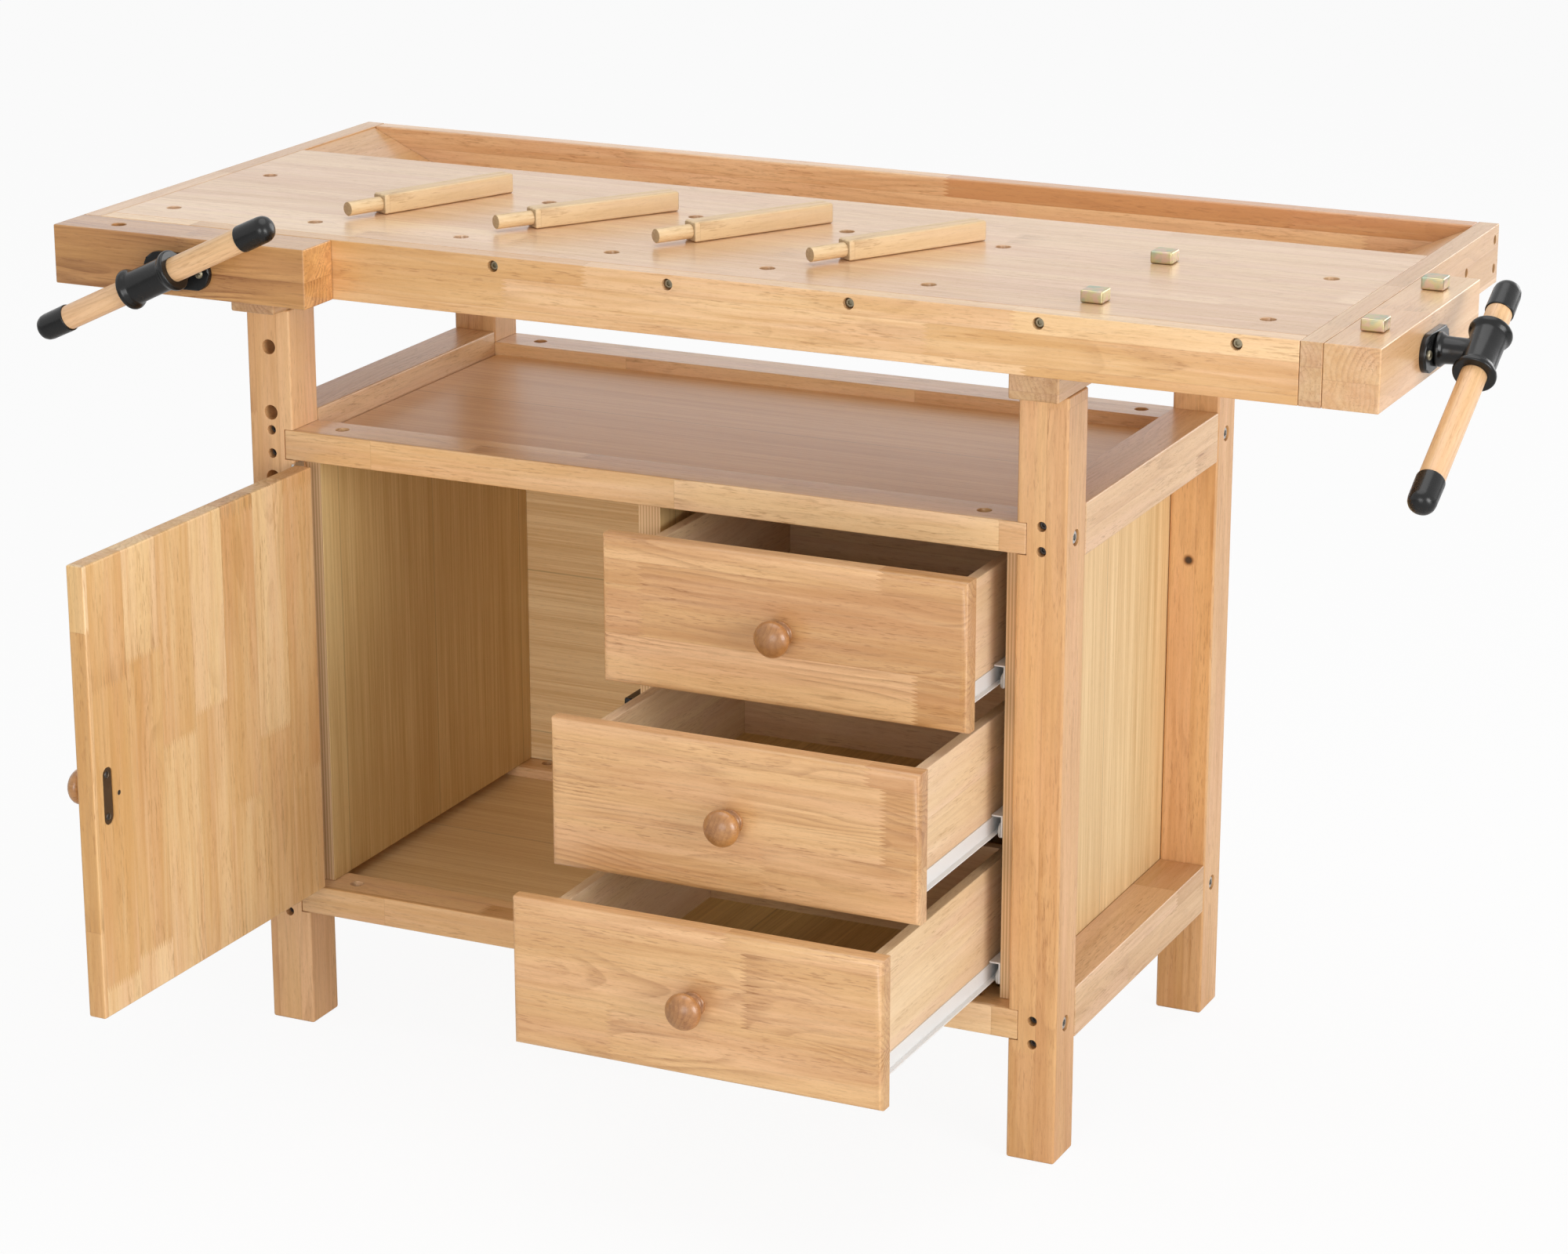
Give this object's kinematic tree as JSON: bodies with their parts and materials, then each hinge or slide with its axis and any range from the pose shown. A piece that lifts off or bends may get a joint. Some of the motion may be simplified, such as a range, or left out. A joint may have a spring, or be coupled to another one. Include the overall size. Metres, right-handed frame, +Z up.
{
  "type": "workbench with cabinet doors",
  "caption": "Wooden workbench on a leg-and-rail base with a front vise, an end vise, a rear tool tray, an open shelf, a hinged cupboard door and a stack of pull-out drawers.",
  "frame": {"origin": "middle of the footprint at floor level, with the door and drawers open as pictured", "axes": "+Z up, +X to the user's right along the bench, +Y from the user toward the tool tray"},
  "size_m": [1.4216, 0.9114, 0.9017],
  "materials": {
    "timber": "satin oiled hardwood strips",
    "sheet": "satin plywood",
    "casting": "black enamel",
    "zinc": "yellow zinc plate",
    "steel": "satin",
    "enamel": "white powder coat"
  },
  "bodies": {
    "bench": {"leg_front_left": "timber", "leg_front_right": "timber", "leg_rear_left": "timber", "leg_rear_right": "timber", "bearer_left": "timber", "bearer_right": "timber", "end_rail_upper_left": "timber", "end_rail_upper_right": "timber", "end_rail_lower_left": "timber", "end_rail_lower_right": "timber", "long_rail_upper_front": "timber", "long_rail_upper_rear": "timber", "long_rail_lower_front": "timber", "long_rail_lower_rear": "timber", "top_slab": "timber", "front_apron": "timber", "end_cap_left": "timber", "end_cap_right": "timber", "tray_rear_rail": "timber", "shelf_panel": "sheet", "bottom_panel": "sheet", "side_panel_left": "sheet", "side_panel_right": "sheet", "back_panel": "sheet", "divider_panel": "sheet", "tray_floor": "sheet", "runner_bottom_left": "enamel", "runner_bottom_right": "enamel", "runner_middle_left": "enamel", "runner_middle_right": "enamel", "runner_top_left": "enamel", "runner_top_right": "enamel", "door_hinge": "steel"},
    "door": {"door_panel": "sheet", "door_knob": "timber"},
    "drawer_bottom": {"drawer_front_bottom": "sheet", "drawer_box_bottom": "sheet", "drawer_knob_bottom": "timber"},
    "drawer_middle": {"drawer_front_middle": "sheet", "drawer_box_middle": "sheet", "drawer_knob_middle": "timber"},
    "drawer_top": {"drawer_front_top": "sheet", "drawer_box_top": "sheet", "drawer_knob_top": "timber"},
    "front_vise_jaw": {"front_vise_jaw": "timber", "front_vise_guide": "casting"},
    "front_vise_screw": {"front_vise_screw": "casting"},
    "front_vise_handle": {"front_vise_handle": "timber"},
    "end_vise_jaw": {"end_vise_jaw": "timber", "end_vise_guide": "casting"},
    "end_vise_screw": {"end_vise_screw": "casting"},
    "end_vise_handle": {"end_vise_handle": "timber"},
    "dog_slab_front": {"dog_slab_front": "zinc"},
    "dog_slab_rear": {"dog_slab_rear": "zinc"},
    "dog_jaw_front": {"dog_jaw_front": "zinc"},
    "dog_jaw_rear": {"dog_jaw_rear": "zinc"},
    "peg_1": {"peg_1": "timber"},
    "peg_2": {"peg_2": "timber"},
    "peg_3": {"peg_3": "timber"},
    "peg_4": {"peg_4": "timber"}
  },
  "joints": [
    {"name": "door_swing", "type": "hinge", "parent": "bench", "child": "door", "pos_m": [-0.50332, -0.05784, 0.38], "axis": [0, 0, -1], "range_deg": [-91, 79]},
    {"name": "drawer_bottom_slide", "type": "slide", "parent": "bench", "child": "drawer_bottom", "axis": [0, -1, 0], "range_m": [-0.2935, 0.0265]},
    {"name": "drawer_middle_slide", "type": "slide", "parent": "bench", "child": "drawer_middle", "axis": [0, -1, 0], "range_m": [-0.212, 0.108]},
    {"name": "drawer_top_slide", "type": "slide", "parent": "bench", "child": "drawer_top", "axis": [0, -1, 0], "range_m": [-0.103, 0.217]},
    {"name": "front_vise_jaw_slide", "type": "slide", "parent": "bench", "child": "front_vise_jaw", "axis": [0, -1, 0], "range_m": [0, 0.15]},
    {"name": "front_vise_screw_turn", "type": "hinge", "parent": "front_vise_jaw", "child": "front_vise_screw", "pos_m": [-0.56482, -0.20564, 0.827], "axis": [0, -1, 0], "range_deg": [0, 9000]},
    {"name": "front_vise_handle_slide", "type": "slide", "parent": "front_vise_screw", "child": "front_vise_handle", "axis": [0.9026, 0, 0.4305], "range_m": [-0.0849, 0.0781]},
    {"name": "end_vise_jaw_slide", "type": "slide", "parent": "bench", "child": "end_vise_jaw", "axis": [1, 0, 0], "range_m": [0, 0.15]},
    {"name": "end_vise_screw_turn", "type": "hinge", "parent": "end_vise_jaw", "child": "end_vise_screw", "pos_m": [0.69048, 0.04966, 0.827], "axis": [1, 0, 0], "range_deg": [0, 9000]},
    {"name": "end_vise_handle_slide", "type": "slide", "parent": "end_vise_screw", "child": "end_vise_handle", "axis": [0, 0.8746, 0.4848], "range_m": [-0.0251, 0.1379]},
    {"name": "dog_slab_front_lift", "type": "slide", "parent": "bench", "child": "dog_slab_front", "axis": [0, 0, 1], "range_m": [0, 0.05]},
    {"name": "dog_slab_rear_lift", "type": "slide", "parent": "bench", "child": "dog_slab_rear", "axis": [0, 0, 1], "range_m": [0, 0.05]},
    {"name": "dog_jaw_front_lift", "type": "slide", "parent": "end_vise_jaw", "child": "dog_jaw_front", "axis": [0, 0, 1], "range_m": [0, 0.05]},
    {"name": "dog_jaw_rear_lift", "type": "slide", "parent": "end_vise_jaw", "child": "dog_jaw_rear", "axis": [0, 0, 1], "range_m": [0, 0.05]},
    {"name": "peg_1_lift", "type": "slide", "parent": "bench", "child": "peg_1", "axis": [0, 0, 1], "range_m": [0, 0.1]},
    {"name": "peg_2_lift", "type": "slide", "parent": "bench", "child": "peg_2", "axis": [0, 0, 1], "range_m": [0, 0.1]},
    {"name": "peg_3_lift", "type": "slide", "parent": "bench", "child": "peg_3", "axis": [0, 0, 1], "range_m": [0, 0.1]},
    {"name": "peg_4_lift", "type": "slide", "parent": "bench", "child": "peg_4", "axis": [0, 0, 1], "range_m": [0, 0.1]}
  ],
  "couplings": [
    {"joint": "front_vise_jaw_slide", "follows": "front_vise_screw_turn", "m_per_rad": 0.00095493},
    {"joint": "end_vise_jaw_slide", "follows": "end_vise_screw_turn", "m_per_rad": 0.00095493}
  ]
}
